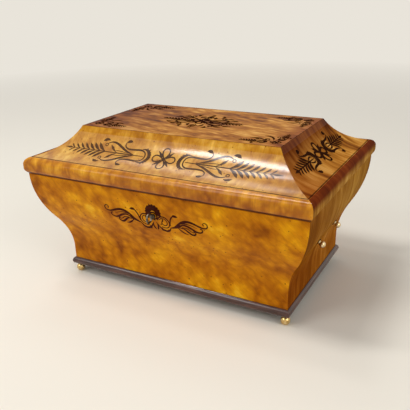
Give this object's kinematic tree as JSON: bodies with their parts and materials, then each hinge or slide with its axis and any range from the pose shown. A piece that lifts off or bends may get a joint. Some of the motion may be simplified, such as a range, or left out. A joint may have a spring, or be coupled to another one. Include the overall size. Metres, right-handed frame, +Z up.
{
  "type": "wedding casket",
  "caption": "Sarcophagus-shaped wooden casket with an ogee body, a coved hinged lid, inlaid scrollwork, ball feet, end knobs and a lock with its key.",
  "frame": {"origin": "on the surface it stands on, under the middle of the whole box of space it fills, key included", "axes": "+X along the front to the right as seen from the front, +Y from the front to the hinged back, +Z up"},
  "size_m": [0.446, 0.3118, 0.238],
  "materials": {
    "maple": "French-polished mottled maple veneer, glossy, with dark scroll inlay",
    "board_wood": "plain planed board, matt",
    "amaranth": "dark purple-brown moulding, glossy",
    "brass": "turned and polished brass",
    "steel": "filed steel, slightly dulled"
  },
  "bodies": {
    "case": {"body_back": "maple", "body_front": "maple", "body_left": "maple", "body_right": "maple", "bottom_board": "board_wood", "foot_back_left": "brass", "foot_back_right": "brass", "foot_front_left": "brass", "foot_front_right": "brass", "hinge_body_screws": "brass", "hinge_left_body_leaf": "brass", "hinge_left_pin": "brass", "hinge_right_body_leaf": "brass", "hinge_right_pin": "brass", "knob_left_back": "brass", "knob_left_front": "brass", "knob_nuts_left": "brass", "knob_nuts_right": "brass", "knob_right_back": "brass", "knob_right_front": "brass", "knob_rosettes_left": "brass", "knob_rosettes_right": "brass", "lock_cap": "steel", "lock_case": "steel", "lock_key_pin": "steel", "lock_screws": "steel", "lock_spring": "steel", "plinth_back": "amaranth", "plinth_front": "amaranth", "plinth_left": "amaranth", "plinth_right": "amaranth"},
    "lid": {"hinge_left_lid_leaf": "brass", "hinge_lid_screws": "brass", "hinge_right_lid_leaf": "brass", "lid_cove_back": "maple", "lid_cove_front": "maple", "lid_cove_left": "maple", "lid_cove_right": "maple", "lid_rim_back": "maple", "lid_rim_front": "maple", "lid_rim_left": "maple", "lid_rim_right": "maple", "lid_top": "maple", "staple": "steel", "staple_screws": "steel"},
    "key": {"key": "steel"},
    "bolt": {"lock_bolt": "steel"}
  },
  "joints": [
    {"name": "lid_hinge", "type": "hinge", "parent": "case", "child": "lid", "pos_m": [0, 0.1534, 0.1737], "axis": [-1, 0, 0], "range_deg": [0, 95]},
    {"name": "key_turn", "type": "hinge", "parent": "case", "child": "key", "pos_m": [0, -0.1356, 0.141], "axis": [0, 1, 0], "range_deg": [0, 360]},
    {"name": "bolt_slide", "type": "slide", "parent": "case", "child": "bolt", "axis": [1, 0, 0], "range_m": [0, 0.008]}
  ],
  "couplings": [
    {"joint": "bolt_slide", "follows": "key_turn", "m_per_rad": 0.001273}
  ]
}
